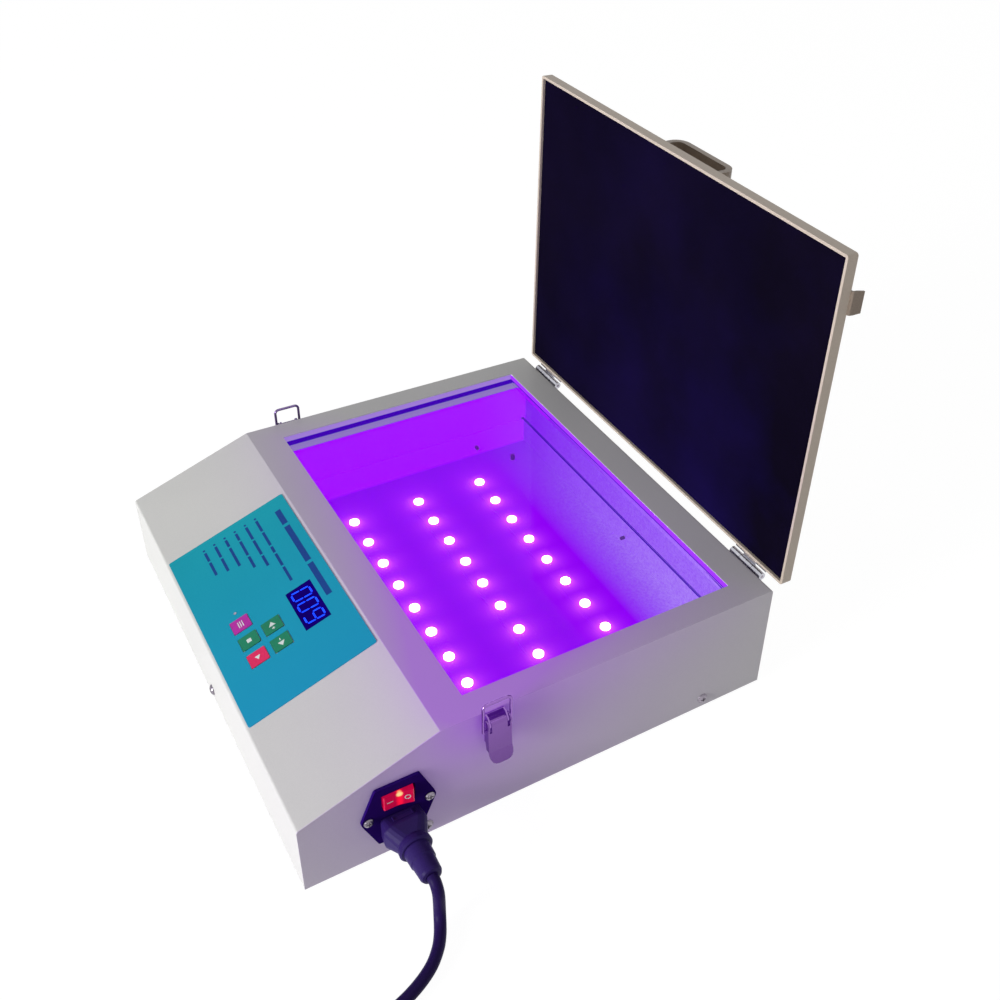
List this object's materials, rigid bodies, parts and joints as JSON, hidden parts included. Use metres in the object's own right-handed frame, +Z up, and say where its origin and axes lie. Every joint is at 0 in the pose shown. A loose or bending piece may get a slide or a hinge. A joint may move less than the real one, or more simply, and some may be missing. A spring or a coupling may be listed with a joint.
{
  "type": "screen printing exposure unit",
  "caption": "Desktop screen printing exposure unit with a glass bed over LED strips, a sloping keypad face and a padded lid with side latches.",
  "frame": {"origin": "middle of the object at the table, under its feet, without the mains lead", "axes": "+X to the right seen from the keypad, +Y to the hinges, +Z up"},
  "size_m": [0.5863, 0.4977, 0.3429],
  "materials": {
    "case_paint": "satin light grey",
    "lid_paint": "satin off-white",
    "handle_paint": "satin taupe",
    "zinc_sheet": "galvanised",
    "bright_steel": "polished nickel plate",
    "screw_steel": "zinc plated",
    "strip_metal": "matte",
    "lens": "clear lens over the light source",
    "glass": "clear float glass",
    "board": "green solder mask",
    "black_plastic": "moulded black",
    "rubber": "matte black",
    "cable": "smooth black sheath",
    "pad": "dark foam cloth",
    "panel": "printed teal film",
    "display": "dark window",
    "key_magenta": "satin magenta",
    "key_green": "satin green",
    "key_red": "satin red",
    "rocker_red": "translucent red",
    "brass": "bright",
    "lamp": "clear red"
  },
  "bodies": {
    "body": {"case_shell": "case_paint", "base_plate": "zinc_sheet", "cover_screws": "screw_steel", "rubber_feet": "rubber", "foot_screws": "screw_steel", "glass_plate": "glass", "glass_rail_left": "case_paint", "glass_rail_right": "case_paint", "divider_plate": "case_paint", "led_strip_front": "strip_metal", "led_strip_middle": "strip_metal", "led_strip_rear": "strip_metal", "led_beads": "lens", "power_supply": "zinc_sheet", "terminal_block": "black_plastic", "control_board": "board", "board_standoffs": "screw_steel", "display_module": "black_plastic", "display_window": "display", "panel_overlay": "panel", "key_switches": "black_plastic", "status_lamp": "lamp", "inlet_housing": "black_plastic", "inlet_pins": "brass", "inlet_screws": "screw_steel", "hinge_leaf_left": "screw_steel", "hinge_leaf_right": "screw_steel", "hinge_pins": "screw_steel", "hinge_screws": "screw_steel", "latch_base_left": "bright_steel", "latch_base_right": "bright_steel", "latch_pins": "bright_steel", "cord_connector": "black_plastic", "cord_front": "cable", "cord_coil": "cable", "cord_tail": "cable", "mains_plug": "black_plastic", "mains_pins": "brass"},
    "lid": {"lid_shell": "lid_paint", "lid_pad": "pad", "lid_handle": "handle_paint", "handle_screws": "screw_steel", "catch_left": "handle_paint", "catch_right": "handle_paint", "lid_leaf_left": "screw_steel", "lid_leaf_right": "screw_steel", "lid_rivets": "screw_steel"},
    "lever_left": {"latch_lever_left": "bright_steel"},
    "lever_right": {"latch_lever_right": "bright_steel"},
    "bail_left": {"latch_bail_left": "bright_steel"},
    "bail_right": {"latch_bail_right": "bright_steel"},
    "rocker": {"rocker_switch": "rocker_red"},
    "button_mode": {"key_mode": "key_magenta"},
    "button_reset": {"key_reset": "key_green"},
    "button_start": {"key_start": "key_red"},
    "button_up": {"key_up": "key_green"},
    "button_down": {"key_down": "key_green"}
  },
  "joints": [
    {"name": "lid_joint", "type": "hinge", "parent": "body", "child": "lid", "pos_m": [0, 0.15589, 0.0895], "axis": [1, 0, 0], "range_deg": [0, 91]},
    {"name": "lever_left_joint", "type": "hinge", "parent": "body", "child": "lever_left", "pos_m": [-0.18, -0.06561, 0.086], "axis": [0, 1, 0], "range_deg": [0, 150]},
    {"name": "bail_left_joint", "type": "hinge", "parent": "lever_left", "child": "bail_left", "pos_m": [-0.1792, -0.06561, 0.08], "axis": [0, 1, 0], "range_deg": [-150, 0]},
    {"name": "lever_right_joint", "type": "hinge", "parent": "body", "child": "lever_right", "pos_m": [0.18, -0.06561, 0.086], "axis": [0, -1, 0], "range_deg": [0, 150]},
    {"name": "bail_right_joint", "type": "hinge", "parent": "lever_right", "child": "bail_right", "pos_m": [0.1792, -0.06561, 0.08], "axis": [0, -1, 0], "range_deg": [-150, 0]},
    {"name": "rocker_joint", "type": "hinge", "parent": "body", "child": "rocker", "pos_m": [0.1735, -0.13091, 0.0536], "axis": [0, 0, 1], "range_deg": [0, 14]},
    {"name": "button_mode_joint", "type": "slide", "parent": "body", "child": "button_mode", "axis": [0, 0.3467, -0.938], "range_m": [0, 0.00035], "stiffness_N_per_m": 400},
    {"name": "button_reset_joint", "type": "slide", "parent": "body", "child": "button_reset", "axis": [0, 0.3467, -0.938], "range_m": [0, 0.00035], "stiffness_N_per_m": 400},
    {"name": "button_start_joint", "type": "slide", "parent": "body", "child": "button_start", "axis": [0, 0.3467, -0.938], "range_m": [0, 0.00035], "stiffness_N_per_m": 400},
    {"name": "button_up_joint", "type": "slide", "parent": "body", "child": "button_up", "axis": [0, 0.3467, -0.938], "range_m": [0, 0.00035], "stiffness_N_per_m": 400},
    {"name": "button_down_joint", "type": "slide", "parent": "body", "child": "button_down", "axis": [0, 0.3467, -0.938], "range_m": [0, 0.00035], "stiffness_N_per_m": 400}
  ],
  "couplings": [
    {"joint": "bail_left_joint", "follows": "lever_left_joint", "ratio": -1},
    {"joint": "bail_right_joint", "follows": "lever_right_joint", "ratio": -1}
  ]
}
